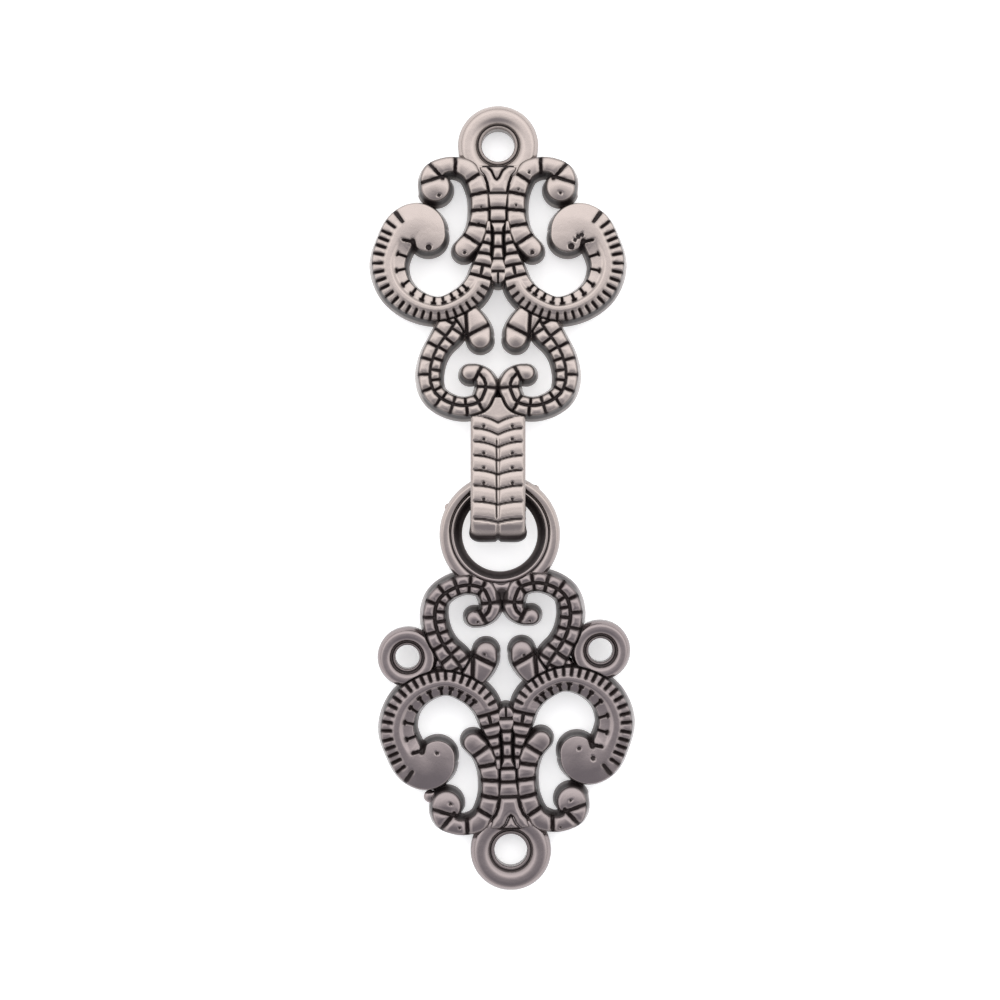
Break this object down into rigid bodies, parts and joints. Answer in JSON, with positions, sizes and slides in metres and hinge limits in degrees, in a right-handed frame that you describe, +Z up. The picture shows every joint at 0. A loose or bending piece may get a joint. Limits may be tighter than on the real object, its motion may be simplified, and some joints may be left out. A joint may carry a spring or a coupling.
{
  "type": "hook and eye clasp",
  "caption": "Flat cast metal scrollwork clasp whose strap-shaped hook closes through a round ring, with round sewing loops at its ends and sides.",
  "frame": {"origin": "on the surface that the clasp lies on, under the middle of its outline", "axes": "+Y along the clasp towards the sewing loop of the hook half, +X across it, +Z up from the surface"},
  "size_m": [0.0207, 0.0605, 0.0049],
  "materials": {
    "hook_casting": "glossy gunmetal plating with dark patina left in the grooves",
    "eye_casting": "glossy gunmetal plating with dark patina left in the grooves"
  },
  "bodies": {
    "root": {"hook_half": "hook_casting", "eye_half": "eye_casting"}
  },
  "joints": []
}
